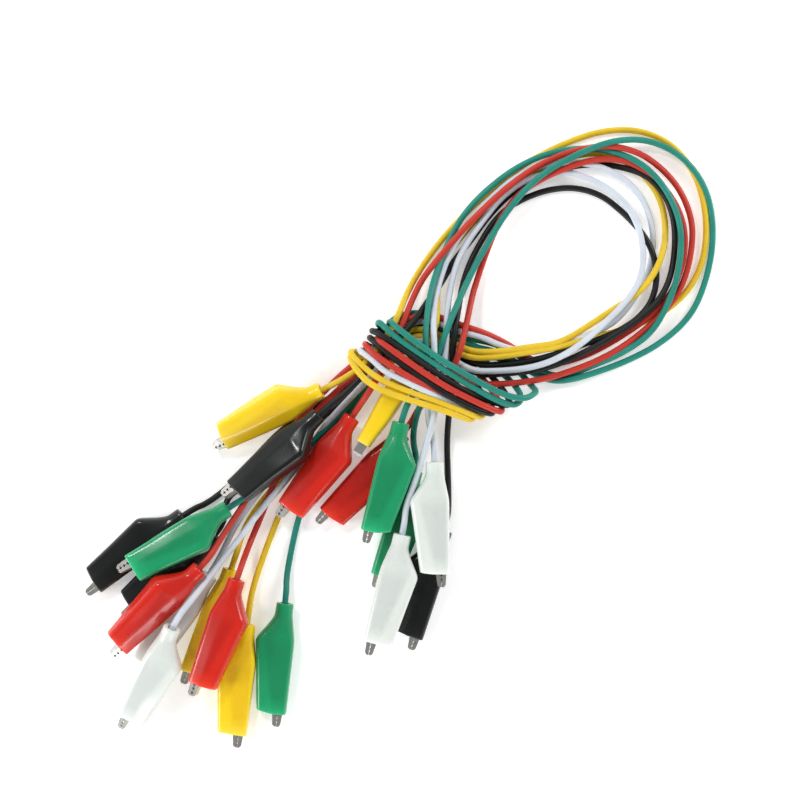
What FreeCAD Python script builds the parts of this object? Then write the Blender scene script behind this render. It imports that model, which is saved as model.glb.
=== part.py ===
import FreeCAD, Part
import math
import os

os.makedirs("parts", exist_ok=True)

V = FreeCAD.Vector

# ---------------------------------------------------------------- driving dimensions (mm)
# Every clip is drawn once in its own frame: X runs from the rear of the boot to the tip,
# Y is the way the moving jaw opens, Z is the axis of the pivot.
BOOT_LENGTH = 32.0
BOOT_COLLAR_R = 2.45
BOOT_COLLAR_LENGTH = 3.3
BOOT_BULGE_X = 11.3
BOOT_HUMP_Y = 7.0
BOOT_BELLY_Y = -4.1
BOOT_BULGE_HALF_T = 3.5
BOOT_MOUTH_HALF_H = 4.2
BOOT_MOUTH_HALF_T = 2.8
BOOT_WALL = 0.6
BOOT_BORE_R = 1.4
BOOT_CAVITY_X = 7.0

SHEET = 0.35
TIP_X = 35.4
JAW_LINE_Y = -1.8
JAW_GAP = 0.1
TOOTH_PITCH = 1.2
TOOTH_DEPTH = 0.45
TEETH = 6
NOSE_HALF_W = 1.3
LOWER_HALF_W = 1.95
UPPER_HALF_W = 2.35
PIVOT_X = 18.5
PIVOT_Y = -0.4
EAR_R = 1.9
RIVET_R = 0.6
RIVET_HOLE_R = 0.65
RIVET_HEAD_R = 1.0
RIVET_HEAD_T = 0.22
RIVET_HEAD_Z = 2.4
BARREL_START = 2.2
BARREL_END = 6.4
BARREL_R = 1.35
BARREL_BORE_R = 1.0
SPRING_WIRE_R = 0.2
SPRING_COIL_R = 0.95
SPRING_COILS = 4
CONDUCTOR_R = 0.45
CONDUCTOR_END = 8.6

WIRE_R = 0.9
WIRE_END_X = 6.2
WIRE_RUN_OUT = -3.0
ARC_SHARE = 0.45

COLOURS = ("yellow", "black", "red", "green", "white")
# Each placed clip: the middle of its boot's rear, the middle of its boot's mouth, the side
# that the jaw opens to (+1 left of the way it points, -1 right) and how far that side is
# turned up, in degrees. The floor is at z = 0.
CLIPS = {
    "yellow_a_1": ((15.4, 44.7, 8.2), (-13.5, 31.3, 4.6), -1, 26),
    "yellow_a_2": ((-6.0, -22.1, 3.9), (-10.4, -54.3, 2.8), -1, 0),
    "yellow_b_1": ((44.3, 56.3, 7.0), (27.5, 29.9, 6.9), 1, -90),
    "yellow_b_2": ((-10.5, -6.5, 3.9), (-21.2, -36.1, 2.8), 1, 0),
    "black_a_1": ((50.3, 4.7, 3.9), (40.1, -25.9, 2.8), -1, 0),
    "black_a_2": ((-24.3, 8.9, 3.9), (-50.9, -10.5, 2.8), -1, 0),
    "black_b_1": ((14.7, 37.8, 10.8), (-9.4, 15.1, 11.2), 1, 24),
    "black_b_2": ((-14.7, 3.2, 3.9), (-40.1, -16.4, 2.8), -1, 0),
    "red_a_1": ((24.1, 37.1, 7.6), (6.1, 10.0, 5.7), 1, 14),
    "red_a_2": ((-8.4, -8.7, 11.3), (-18.8, -40.4, 10.0), 1, 12),
    "red_b_1": ((38.6, 32.4, 3.9), (17.8, 8.4, 2.8), 1, 0),
    "red_b_2": ((-18.8, -5.7, 11.8), (-43.3, -27.9, 10.5), -1, 26),
    "green_a_1": ((38.0, 35.6, 10.9), (30.3, 3.3, 10.4), 1, 0),
    "green_a_2": ((-11.2, 11.1, 7.8), (-38.3, -6.0, 12.4), 1, 8),
    "green_b_1": ((41.9, 21.9, 3.9), (33.3, -8.7, 2.8), 1, 0),
    "green_b_2": ((4.9, -16.1, 3.9), (0.8, -48.1, 2.8), -1, 0),
    "white_a_1": ((47.5, 24.4, 10.6), (47.6, -9.3, 10.3), -1, 0),
    "white_a_2": ((-16.6, -8.0, 3.9), (-35.2, -33.7, 2.8), -1, 0),
    "white_b_1": ((38.4, 3.9, 10.7), (31.1, -28.1, 9.5), 1, 0),
    "white_b_2": ((-26.3, -22.0, 14.5), (-39.0, -49.4, 3.9), 1, 0),
}

# The points that each wire bends at between its two clips: over, round the loop, back to the
# tie, once round the bundle as the band and out to the other clip.
ROUTES = {
    "yellow_a": [
        (22.0, 48.1, 8.5), (26.8, 51.3, 8.5), (32.5, 57.6, 8.5), (36.8, 64.7, 8.5), (40.0, 73.3, 3.9),
        (45.4, 82.4, 0.9), (51.7, 90.4, 0.9), (61.1, 100.1, 0.9), (72.5, 109.3, 0.9), (84.0, 115.3, 0.9),
        (95.4, 119.3, 0.9), (106.8, 119.6, 0.9), (117.1, 114.7, 0.9), (123.7, 104.7, 0.9), (126.0, 92.7, 0.9),
        (124.8, 81.3, 0.9), (120.3, 72.7, 0.9), (112.0, 65.9, 0.9), (102.0, 62.1, 0.9), (92.0, 59.6, 2.8),
        (83.4, 57.0, 4.7), (74.8, 55.6, 6.6), (66.3, 54.1, 6.6), (56.3, 53.6, 6.6), (44.8, 61.3, 6.6),
        (35.4, 57.6, 6.6), (28.0, 53.0, 6.6), (23.1, 51.6, 7.4), (21.1, 51.6, 11.5), (24.8, 48.4, 13.2),
        (29.7, 45.9, 13.2), (37.7, 42.7, 13.2), (49.1, 39.3, 13.2), (55.4, 37.0, 12.3), (58.3, 36.1, 10.4),
        (58.5, 37.9, 2.8), (55.4, 43.6, 0.9), (51.4, 51.0, 0.9), (44.8, 59.6, 0.9), (38.3, 56.1, 0.9),
        (33.1, 50.0, 0.9), (27.1, 43.0, 0.9), (20.3, 33.9, 0.9), (12.5, 26.7, 0.9), (7.1, 17.9, 0.9),
        (3.1, 9.3, 0.9), (-1.2, -1.9, 0.9), (-4.7, -12.4, 2.0),
    ],
    "yellow_b": [
        (48.0, 63.0, 9.3), (48.3, 68.1, 7.0), (48.3, 73.9, 1.5), (50.8, 83.0, 0.9), (56.5, 90.4, 0.9),
        (63.4, 98.1, 0.9), (72.0, 105.3, 0.9), (83.4, 111.0, 0.9), (94.3, 113.3, 0.9), (103.4, 110.4, 0.9),
        (110.0, 104.1, 0.9), (113.1, 97.9, 0.9), (114.0, 90.4, 2.0), (112.8, 83.6, 4.7), (110.0, 77.3, 4.7),
        (105.4, 71.9, 3.9), (99.1, 68.1, 2.0), (92.0, 63.3, 1.9), (83.4, 58.1, 4.7), (74.8, 57.0, 6.6),
        (66.3, 55.6, 6.6), (56.3, 55.6, 6.6), (44.8, 63.3, 6.6), (36.3, 59.9, 6.6), (29.7, 55.3, 6.6),
        (25.1, 53.9, 7.4), (22.5, 54.1, 11.5), (26.3, 50.9, 12.7), (32.0, 47.6, 12.7), (37.7, 45.1, 12.7),
        (49.1, 41.0, 12.7), (57.1, 38.1, 12.3), (61.1, 36.7, 10.4), (61.4, 39.0, 2.8), (57.7, 45.3, 0.9),
        (52.5, 52.7, 0.9), (44.8, 61.6, 0.9), (37.7, 57.9, 0.9), (32.5, 52.4, 0.9), (26.8, 44.4, 0.9),
        (18.3, 35.6, 0.9), (10.3, 26.7, 0.9), (2.3, 17.9, 0.9), (-3.5, 11.0, 0.9), (-7.5, 4.1, 0.9),
    ],
    "black_a": [
        (51.7, 12.4, 0.9), (51.4, 21.9, 0.9), (51.1, 30.4, 2.4), (51.7, 38.4, 5.1), (52.5, 46.1, 7.2),
        (52.5, 53.3, 7.7), (53.1, 60.4, 8.9), (54.3, 68.1, 7.0), (55.7, 75.6, 2.8), (58.0, 81.9, 0.9),
        (61.1, 87.6, 0.9), (64.5, 93.0, 0.9), (68.8, 97.3, 0.9), (74.0, 100.1, 0.9), (80.5, 102.4, 0.9),
        (88.3, 103.0, 0.9), (95.7, 100.7, 0.9), (101.4, 96.1, 0.9), (105.7, 91.6, 1.9), (109.1, 86.7, 2.8),
        (111.1, 80.7, 2.8), (111.1, 74.4, 2.8), (109.1, 68.7, 2.8), (104.0, 63.6, 2.8), (96.5, 59.9, 2.8),
        (87.7, 57.0, 3.6), (79.1, 53.9, 4.7), (69.1, 52.1, 4.7), (57.7, 51.6, 4.7), (44.8, 63.3, 4.7),
        (37.1, 63.0, 4.7), (31.4, 61.9, 4.7), (27.4, 61.9, 5.5), (27.1, 62.1, 11.5), (31.1, 60.4, 12.7),
        (37.7, 56.7, 12.7), (49.1, 48.7, 12.7), (58.3, 43.1, 12.3), (66.0, 40.7, 10.8), (69.1, 40.3, 9.3),
        (68.5, 43.0, 4.7), (64.5, 48.1, 2.8), (55.4, 57.9, 2.8), (44.8, 67.0, 2.8), (37.1, 64.1, 2.8),
        (30.5, 56.7, 2.8), (26.5, 49.3, 2.8), (20.0, 43.9, 2.4), (12.0, 39.3, 0.9), (4.5, 34.1, 0.9),
        (-2.6, 27.0, 0.9), (-10.3, 17.9, 0.9), (-17.7, 12.1, 0.9),
    ],
    "black_b": [
        (22.0, 43.6, 10.0), (28.0, 49.6, 9.8), (33.7, 55.9, 10.0), (38.5, 60.4, 9.4), (42.3, 65.0, 9.1),
        (45.7, 70.1, 6.6), (49.7, 75.6, 2.4), (53.1, 81.9, 0.9), (58.0, 87.6, 0.9), (62.8, 94.4, 0.9),
        (68.5, 100.4, 0.9), (74.8, 104.7, 0.9), (84.0, 108.4, 0.9), (93.4, 109.9, 0.9), (102.0, 108.7, 1.3),
        (109.1, 105.9, 2.8), (114.0, 100.1, 2.8), (116.3, 93.3, 2.8), (116.5, 84.7, 2.8), (114.8, 75.6, 3.6),
        (110.5, 68.7, 4.7), (102.8, 62.7, 4.7), (94.8, 57.9, 4.3), (87.7, 54.1, 3.6), (79.1, 50.7, 4.7),
        (67.7, 49.3, 4.7), (57.7, 49.0, 4.7), (44.8, 61.6, 4.7), (37.1, 59.6, 4.7), (30.8, 57.6, 4.7),
        (26.3, 58.4, 5.5), (26.0, 58.7, 11.5), (30.3, 56.7, 12.7), (37.7, 52.1, 12.7), (49.1, 44.4, 12.7),
        (57.7, 39.9, 12.7), (62.5, 38.1, 11.9), (64.3, 38.1, 9.6), (63.7, 40.7, 4.7), (59.4, 46.1, 2.8),
        (53.1, 55.6, 2.8), (44.8, 63.3, 2.8), (37.4, 59.3, 2.8), (32.0, 54.4, 2.8), (28.0, 48.1, 2.8),
        (21.4, 41.6, 2.8), (12.5, 34.7, 2.8), (4.0, 27.0, 1.7), (-5.2, 17.9, 0.9), (-12.6, 14.1, 0.9),
    ],
    "red_a": [
        (29.1, 44.4, 10.2), (32.5, 50.1, 9.4), (35.7, 56.7, 8.5), (38.3, 63.0, 8.5), (41.1, 70.4, 5.8),
        (44.0, 76.4, 4.7), (48.3, 81.9, 4.7), (53.1, 87.6, 4.7), (58.3, 93.3, 4.7), (64.5, 99.3, 4.7),
        (72.0, 105.6, 4.7), (80.5, 110.7, 4.7), (89.1, 113.6, 4.7), (97.7, 114.7, 4.7), (106.3, 112.7, 3.6),
        (113.1, 107.9, 2.8), (118.3, 101.6, 2.8), (121.4, 93.3, 2.8), (121.4, 86.1, 2.8), (119.7, 77.6, 2.8),
        (116.5, 71.0, 2.8), (111.1, 64.7, 2.8), (102.0, 57.3, 2.8), (93.4, 52.7, 2.8), (84.0, 49.3, 3.6),
        (77.7, 47.6, 4.7), (67.7, 46.4, 4.7), (57.7, 46.4, 4.7), (44.8, 59.6, 4.7), (37.7, 57.3, 4.7),
        (30.3, 55.6, 4.7), (25.4, 57.0, 5.5), (24.8, 57.3, 11.5), (28.5, 54.7, 13.2), (37.7, 49.9, 13.2),
        (44.8, 45.9, 12.7), (52.0, 42.7, 11.0), (58.8, 40.4, 10.4), (61.1, 39.9, 9.3), (60.5, 42.1, 4.7),
        (57.1, 47.0, 2.8), (52.0, 53.9, 2.8), (44.8, 61.6, 2.8), (38.3, 57.9, 2.8), (33.1, 54.4, 3.6),
        (26.8, 50.7, 4.7), (19.1, 44.1, 4.3), (11.4, 36.1, 4.7), (5.4, 26.1, 3.9), (1.1, 17.0, 2.8),
        (-2.0, 8.7, 2.0), (-5.2, 1.3, 1.9),
    ],
    "red_b": [
        (42.8, 39.3, 4.5), (46.5, 42.7, 5.8), (50.5, 47.0, 7.5), (53.7, 52.7, 10.0), (55.7, 59.6, 9.4),
        (57.1, 65.9, 6.8), (58.5, 72.4, 3.6), (60.8, 79.6, 2.8), (63.1, 86.1, 2.8), (66.5, 93.9, 2.8),
        (70.8, 100.1, 2.8), (76.0, 103.9, 3.9), (81.1, 106.4, 5.1), (87.4, 109.0, 5.1), (94.8, 111.0, 3.9),
        (103.4, 110.4, 2.8), (110.8, 105.6, 2.8), (116.3, 99.0, 2.8), (119.1, 91.9, 2.8), (119.4, 84.7, 2.8),
        (117.7, 77.6, 2.8), (114.5, 71.0, 2.8), (109.1, 65.6, 2.8), (100.5, 59.6, 0.9), (92.0, 55.0, 0.9),
        (83.4, 52.1, 0.9), (76.3, 52.7, 1.7), (69.1, 57.6, 3.2), (62.0, 61.0, 6.2), (54.8, 63.3, 6.6),
        (44.8, 67.0, 6.6), (37.1, 63.3, 6.6), (32.8, 59.6, 6.6), (28.8, 58.7, 7.4), (28.0, 59.0, 11.5),
        (31.4, 57.9, 13.2), (37.7, 54.3, 13.2), (49.1, 46.4, 13.2), (59.1, 41.3, 13.2), (64.5, 39.0, 12.3),
        (66.8, 38.4, 10.4), (66.3, 41.3, 4.7), (62.3, 47.0, 2.8), (54.3, 56.1, 2.8), (44.8, 65.3, 2.8),
        (37.1, 61.6, 2.8), (30.0, 56.1, 4.3), (22.8, 51.0, 4.7), (14.3, 42.7, 4.3), (6.3, 33.3, 2.8),
        (-1.2, 21.9, 3.4), (-7.2, 11.6, 5.8), (-12.9, 3.0, 9.3),
    ],
    "green_a": [
        (40.8, 42.4, 10.4), (44.3, 47.6, 10.8), (45.7, 53.3, 11.0), (44.8, 59.6, 10.8), (45.4, 66.1, 9.6),
        (46.5, 73.3, 7.4), (49.1, 81.3, 3.6), (52.5, 89.3, 2.8), (56.5, 95.9, 2.8), (63.1, 102.7, 2.8),
        (72.5, 109.6, 2.8), (83.4, 113.6, 2.8), (94.8, 114.1, 2.8), (104.8, 111.0, 3.7), (112.0, 104.7, 4.7),
        (116.8, 96.1, 4.7), (118.3, 87.6, 4.7), (117.1, 77.6, 4.7), (114.5, 69.6, 4.7), (109.7, 61.0, 3.9),
        (102.0, 55.6, 2.8), (93.4, 51.9, 1.7), (84.8, 48.4, 0.9), (77.7, 49.9, 0.9), (71.4, 55.0, 2.0),
        (64.8, 58.1, 3.9), (56.3, 59.6, 4.7), (44.8, 67.0, 4.7), (38.3, 66.4, 4.7), (34.5, 65.3, 4.7),
        (32.0, 64.7, 5.7), (32.3, 65.0, 11.5), (35.4, 62.7, 13.2), (43.4, 57.3, 13.2), (49.1, 53.3, 13.2),
        (60.5, 46.6, 13.2), (67.7, 43.0, 13.2), (73.1, 42.1, 12.7), (76.5, 44.1, 9.3), (76.0, 45.3, 2.8),
        (70.3, 51.9, 0.9), (57.7, 57.9, 0.9), (44.8, 67.0, 0.9), (37.4, 61.9, 0.9), (32.5, 56.1, 0.9),
        (28.5, 48.7, 1.3), (24.0, 41.3, 2.8), (17.1, 33.3, 4.7), (6.8, 25.6, 5.1), (-3.2, 16.4, 6.0),
    ],
    "green_b": [
        (41.4, 29.3, 3.9), (41.7, 35.0, 4.7), (43.7, 41.3, 7.2), (46.5, 47.9, 8.1), (48.3, 54.7, 9.6),
        (50.3, 60.1, 10.4), (52.5, 65.6, 9.6), (55.4, 72.4, 7.0), (58.8, 79.6, 5.1), (62.8, 86.7, 4.7),
        (67.1, 94.1, 4.7), (72.0, 100.4, 5.7), (77.7, 105.9, 6.6), (85.1, 110.4, 6.6), (94.8, 114.7, 6.6),
        (102.0, 116.4, 4.7), (109.7, 116.1, 3.2), (117.7, 112.4, 2.8), (124.0, 105.6, 1.7), (127.1, 97.3, 0.9),
        (127.7, 87.6, 0.9), (126.0, 77.3, 0.9), (121.7, 66.4, 0.9), (113.1, 58.4, 0.9), (103.4, 53.3, 0.9),
        (94.3, 49.9, 2.0), (85.7, 47.3, 2.0), (79.1, 47.6, 1.5), (72.0, 52.1, 0.9), (66.3, 55.6, 2.8),
        (56.3, 57.6, 4.7), (44.8, 65.3, 4.7), (37.7, 64.4, 4.7), (32.3, 62.4, 4.7), (29.1, 63.3, 5.5),
        (29.4, 64.1, 11.5), (33.1, 61.6, 12.7), (37.7, 58.7, 12.7), (49.1, 51.0, 12.7), (60.5, 44.1, 12.7),
        (66.8, 41.0, 12.7), (70.5, 40.4, 11.2), (72.3, 42.1, 8.5), (71.4, 45.3, 2.8), (66.3, 50.4, 0.9),
        (55.4, 56.7, 0.9), (44.8, 65.3, 0.9), (37.7, 60.1, 0.9), (33.7, 55.0, 1.7), (30.0, 48.1, 2.8),
        (24.8, 40.4, 2.8), (20.3, 32.7, 2.8), (15.7, 24.7, 2.0), (11.4, 16.1, 1.1), (8.4, 7.6, 0.9),
        (6.5, -1.0, 0.9), (5.1, -9.0, 2.0),
    ],
    "white_a": [
        (47.1, 31.0, 7.4), (45.4, 37.6, 8.5), (46.0, 44.1, 10.0), (47.4, 50.4, 11.3), (47.4, 57.6, 11.5),
        (47.1, 64.1, 10.0), (47.7, 71.0, 6.2), (49.7, 78.4, 3.2), (52.5, 85.3, 2.8), (56.5, 91.6, 2.8),
        (62.8, 99.0, 2.8), (71.4, 106.4, 2.8), (81.1, 110.1, 2.8), (92.0, 109.9, 2.8), (101.1, 106.1, 2.8),
        (107.1, 100.1, 2.8), (110.0, 92.7, 1.7), (110.5, 85.9, 0.9), (109.1, 77.9, 0.9), (105.1, 71.3, 1.7),
        (100.0, 64.7, 2.8), (93.4, 61.0, 2.8), (83.4, 57.9, 2.8), (74.8, 55.0, 4.7), (66.3, 57.3, 5.5),
        (61.1, 59.9, 6.2), (54.8, 61.3, 6.6), (44.8, 65.3, 6.6), (36.5, 61.6, 6.6), (30.8, 56.7, 6.6),
        (25.7, 54.7, 7.4), (23.4, 55.0, 11.5), (28.0, 53.4, 12.7), (33.1, 50.1, 12.7), (37.7, 47.9, 12.7),
        (44.8, 44.4, 12.7), (50.5, 41.9, 11.5), (58.3, 39.0, 10.8), (62.5, 39.0, 9.6), (62.3, 41.3, 3.2),
        (58.8, 47.6, 0.9), (53.1, 55.6, 0.9), (44.8, 63.3, 0.9), (37.7, 59.3, 0.9), (32.3, 53.9, 0.9),
        (25.7, 45.9, 0.9), (16.3, 37.9, 0.9), (8.5, 28.4, 0.9), (0.5, 19.6, 0.9), (-5.7, 11.6, 0.9),
        (-10.3, 4.7, 0.9),
    ],
    "white_b": [
        (39.2, 11.6, 11.0), (42.0, 19.0, 11.0), (44.4, 27.0, 11.0), (46.5, 33.9, 10.8), (48.0, 40.4, 10.4),
        (49.4, 47.0, 9.6), (50.5, 53.3, 8.5), (50.8, 60.4, 9.1), (51.1, 67.0, 8.1), (52.0, 73.9, 4.5),
        (53.7, 80.4, 2.8), (56.8, 87.0, 2.8), (61.4, 93.3, 2.8), (66.5, 99.9, 2.8), (73.1, 104.7, 2.8),
        (80.0, 107.0, 2.8), (86.3, 107.3, 2.8), (93.7, 104.7, 2.8), (100.5, 100.4, 2.8), (105.1, 93.9, 3.2),
        (107.4, 85.9, 3.6), (106.8, 76.7, 4.7), (102.3, 69.9, 4.7), (96.0, 63.6, 4.7), (89.1, 57.6, 5.5),
        (82.0, 53.3, 5.8), (74.8, 51.0, 6.6), (66.3, 50.1, 6.6), (56.3, 50.1, 6.6), (45.4, 60.4, 6.6),
        (37.1, 56.7, 6.6), (30.3, 49.6, 6.6), (24.3, 43.3, 5.8), (18.5, 37.3, 4.7), (14.3, 31.9, 3.7),
        (10.0, 25.0, 2.8), (4.8, 18.4, 4.3), (-1.7, 11.0, 4.7), (-8.3, 2.1, 6.2), (-15.2, -6.7, 9.4),
        (-21.2, -14.7, 12.7),
    ],
}


# ---------------------------------------------------------------- small helpers
def polygon_face(points, z):
    """Flat face through (x, y) points at height z."""
    corners = [V(x, y, z) for x, y in points]
    return Part.Face(Part.makePolygon(corners + corners[:1]))


def slab(points, half_width):
    """Outline in X-Y, extruded both ways along Z."""
    return polygon_face(points, -half_width).extrude(V(0, 0, 2 * half_width))


def plan_slab(points, y_low, y_high):
    """Outline in X-Z, extruded along Y."""
    corners = [V(x, y_low, z) for x, z in points]
    face = Part.Face(Part.makePolygon(corners + corners[:1]))
    return face.extrude(V(0, y_high - y_low, 0))


def mirrored_plan(upper_edge, y_low, y_high):
    """Plan outline given by its (x, half width) edge, the same on both sides."""
    lower_edge = [(x, -z) for x, z in reversed(upper_edge)]
    return plan_slab(upper_edge + lower_edge, y_low, y_high)


def cylinder_z(x, y, radius, z_low, z_high):
    return Part.makeCylinder(radius, z_high - z_low, V(x, y, z_low), V(0, 0, 1))


def section(x, y_low, y_high, half_t, corner):
    """Rounded rectangle across the clip at station x."""
    y0, y1 = y_low + corner, y_high - corner
    z0, z1 = -half_t + corner, half_t - corner
    c = corner * math.sqrt(0.5)
    edges = [
        Part.LineSegment(V(x, y0, -half_t), V(x, y1, -half_t)).toShape(),
        Part.Arc(V(x, y1, -half_t), V(x, y1 + c, z0 - c), V(x, y_high, z0)).toShape(),
        Part.LineSegment(V(x, y_high, z0), V(x, y_high, z1)).toShape(),
        Part.Arc(V(x, y_high, z1), V(x, y1 + c, z1 + c), V(x, y1, half_t)).toShape(),
        Part.LineSegment(V(x, y1, half_t), V(x, y0, half_t)).toShape(),
        Part.Arc(V(x, y0, half_t), V(x, y0 - c, z1 + c), V(x, y_low, z1)).toShape(),
        Part.LineSegment(V(x, y_low, z1), V(x, y_low, z0)).toShape(),
        Part.Arc(V(x, y_low, z0), V(x, y0 - c, z0 - c), V(x, y0, -half_t)).toShape(),
    ]
    return Part.Wire(edges)


# ---------------------------------------------------------------- one clip, in its own frame
def make_boot():
    """Soft vinyl boot: round collar, hump over the thumb lever, open flat mouth."""
    r = BOOT_COLLAR_R
    outer = Part.makeLoft([
        section(0, -r, r, r, r * 0.93),
        section(BOOT_COLLAR_LENGTH, -r, r, r, r * 0.93),
        section(BOOT_BULGE_X, BOOT_BELLY_Y, BOOT_HUMP_Y, BOOT_BULGE_HALF_T, 2.0),
        section(BOOT_LENGTH, -BOOT_MOUTH_HALF_H, BOOT_MOUTH_HALF_H, BOOT_MOUTH_HALF_T, 1.6),
    ], True, True)
    w = BOOT_WALL
    neck = BARREL_R + 0.25
    past = BOOT_LENGTH + 1.0
    cavity = Part.makeLoft([
        section(BOOT_CAVITY_X, -neck, neck + 0.4, neck, neck * 0.9),
        section(BOOT_BULGE_X, BOOT_BELLY_Y + w, BOOT_HUMP_Y - w, BOOT_BULGE_HALF_T - w, 1.4),
        section(past, -BOOT_MOUTH_HALF_H + w, BOOT_MOUTH_HALF_H - w, BOOT_MOUTH_HALF_T - w, 1.0),
    ], True, True)
    bore = Part.makeCylinder(BOOT_BORE_R, BOOT_CAVITY_X + 1.5, V(-1, 0, 0), V(1, 0, 0))
    return outer.cut(cavity).cut(bore)


def nose_teeth(side):
    """Notches along the jaw line; side is +1 for the upper jaw and -1 for the lower one."""
    line = JAW_LINE_Y + side * JAW_GAP / 2
    notches = []
    for i in range(TEETH):
        x = TIP_X - TOOTH_PITCH * (i + 0.8)
        half = TOOTH_PITCH * 0.38
        far = line + side * TOOTH_DEPTH
        points = [(x - half, line - side * 0.2), (x + half, line - side * 0.2), (x, far)]
        notches.append(slab(points, UPPER_HALF_W + 1))
    return notches


def folded_jaw(outline, core, plan, core_plan, side):
    """Stamped channel: the outline less its core, cut to its plan, with toothed edges."""
    shape = slab(outline, UPPER_HALF_W + 1).common(mirrored_plan(plan, -9, 9))
    hollow = slab(core, UPPER_HALF_W + 1).common(mirrored_plan(core_plan, -9, 9))
    shape = shape.cut(hollow)
    for notch in nose_teeth(side):
        shape = shape.cut(notch)
    return shape


def make_upper_jaw():
    """Moving jaw: toothed nose, ears round the pivot and the thumb lever under the hump."""
    line = JAW_LINE_Y + JAW_GAP / 2
    top = [(TIP_X, -1.25), (34.9, -0.7), (32.0, -0.3), (27.0, 0.3), (22.5, 1.3),
           (17.5, 3.0), (13.0, 4.6), (11.0, 4.9)]
    under = [(11.0, 4.4), (13.0, 3.2), (15.6, 1.0), (16.6, PIVOT_Y - 1.2), (17.8, PIVOT_Y - EAR_R),
             (19.4, PIVOT_Y - EAR_R), (21.4, line), (TIP_X, line)]
    core_top = [(TIP_X - SHEET, -1.35), (34.7, -1.05), (32.0, -0.65), (27.0, -0.05), (22.4, 0.95),
                (17.3, 2.63), (12.9, 4.22), (10.0, 4.4)]
    core_under = [(10.0, -4.0), (TIP_X - SHEET, -4.0)]
    plan = [(10.0, 1.9), (12.5, UPPER_HALF_W), (22.0, UPPER_HALF_W), (27.0, 1.5), (TIP_X, NOSE_HALF_W)]
    core_plan = [(x, z - SHEET) for x, z in plan]
    core_plan[0] = (9.0, 1.9 - SHEET)
    shape = folded_jaw(top + under, core_top + core_under, plan, core_plan, 1)
    hole = cylinder_z(PIVOT_X, PIVOT_Y, RIVET_HOLE_R, -4, 4)
    return shape.cut(hole)


def make_lower_jaw():
    """Fixed jaw: toothed nose, inner ears, rear strip and the barrel crimped on the wire."""
    line = JAW_LINE_Y - JAW_GAP / 2
    top = [(TIP_X, line), (20.9, line), (20.4, PIVOT_Y + 1.0), (19.3, PIVOT_Y + 1.75),
           (17.7, PIVOT_Y + 1.75), (16.6, PIVOT_Y + 1.0), (15.6, -1.7), (9.5, -2.0), (7.4, -1.0)]
    under = [(6.9, -1.3), (9.4, -2.5), (12.2, -3.35), (30.0, -3.3), (34.7, -3.0), (TIP_X, -2.5)]
    core_top = [(TIP_X - SHEET, 3.0), (9.0, 3.0)]
    core_under = [(9.6, -2.2), (12.4, -3.0), (30.0, -2.95), (34.5, -2.68), (TIP_X - SHEET, -2.4)]
    plan = [(6.5, 0.9), (8.5, 1.3), (13.0, LOWER_HALF_W), (22.0, LOWER_HALF_W), (27.0, 1.5),
            (TIP_X, NOSE_HALF_W)]
    core_plan = [(x, z - SHEET) for x, z in plan]
    shape = folded_jaw(top + under, core_top + core_under, plan, core_plan, -1)
    shape = shape.cut(cylinder_z(PIVOT_X, PIVOT_Y, RIVET_R, -4, 4))
    length = BARREL_END - BARREL_START
    barrel = Part.makeCylinder(BARREL_R, length + 0.9, V(BARREL_START, 0, 0), V(1, 0, 0))
    shape = shape.fuse(barrel)
    bore = Part.makeCylinder(BARREL_BORE_R, length + 4, V(BARREL_START - 1, 0, 0), V(1, 0, 0))
    return shape.cut(bore).removeSplitter()


def make_rivet():
    """Pivot rivet with a head outside each ear."""
    shank = cylinder_z(PIVOT_X, PIVOT_Y, RIVET_R, -RIVET_HEAD_Z - 0.1, RIVET_HEAD_Z + 0.1)
    shape = shank
    for z in (-RIVET_HEAD_Z - RIVET_HEAD_T, RIVET_HEAD_Z):
        shape = shape.fuse(cylinder_z(PIVOT_X, PIVOT_Y, RIVET_HEAD_R, z, z + RIVET_HEAD_T))
    return shape.removeSplitter()


def make_spring():
    """Torsion spring round the rivet: close coils, drawn as joined rings, and two legs."""
    pitch = SPRING_WIRE_R * 1.8
    start = -pitch * (SPRING_COILS - 1) / 2
    shape = None
    for i in range(SPRING_COILS):
        centre = V(PIVOT_X, PIVOT_Y, start + i * pitch)
        ring = Part.makeTorus(SPRING_COIL_R, SPRING_WIRE_R, centre, V(0, 0, 1))
        shape = ring if shape is None else shape.fuse(ring)
    legs = [
        (V(PIVOT_X + 0.2, PIVOT_Y + SPRING_COIL_R, start + 3 * pitch), V(13.6, 3.55, start + 3 * pitch)),
        (V(PIVOT_X - 0.1, PIVOT_Y - SPRING_COIL_R, start), V(12.6, -2.7, start)),
    ]
    for foot, end in legs:
        shape = shape.fuse(Part.makeCylinder(SPRING_WIRE_R * 0.95, (end - foot).Length, foot, end - foot))
    return shape


def make_conductor():
    """Bare strands, gathered and crimped on, past the end of the insulation."""
    length = CONDUCTOR_END - WIRE_END_X
    return Part.makeCylinder(CONDUCTOR_R, length, V(WIRE_END_X, 0, 0), V(1, 0, 0))


# ---------------------------------------------------------------- placing the clips
def clip_axes(clip):
    """Rear point and the three unit axes of a placed clip."""
    rear, mouth, side, roll = clip
    along = (V(*mouth) - V(*rear)).normalize()
    left = V(-along.y, along.x, 0).normalize()
    up = along.cross(left)
    opening = left * (side * math.cos(math.radians(roll))) + up * math.sin(math.radians(roll))
    return V(*rear), along, opening, along.cross(opening)


def placed(shape, clip):
    rear, x_axis, y_axis, z_axis = clip_axes(clip)
    matrix = FreeCAD.Matrix(
        x_axis.x, y_axis.x, z_axis.x, rear.x,
        x_axis.y, y_axis.y, z_axis.y, rear.y,
        x_axis.z, y_axis.z, z_axis.z, rear.z,
        0, 0, 0, 1)
    moved = shape.copy()
    moved.Placement = FreeCAD.Placement(matrix)
    return moved


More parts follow.
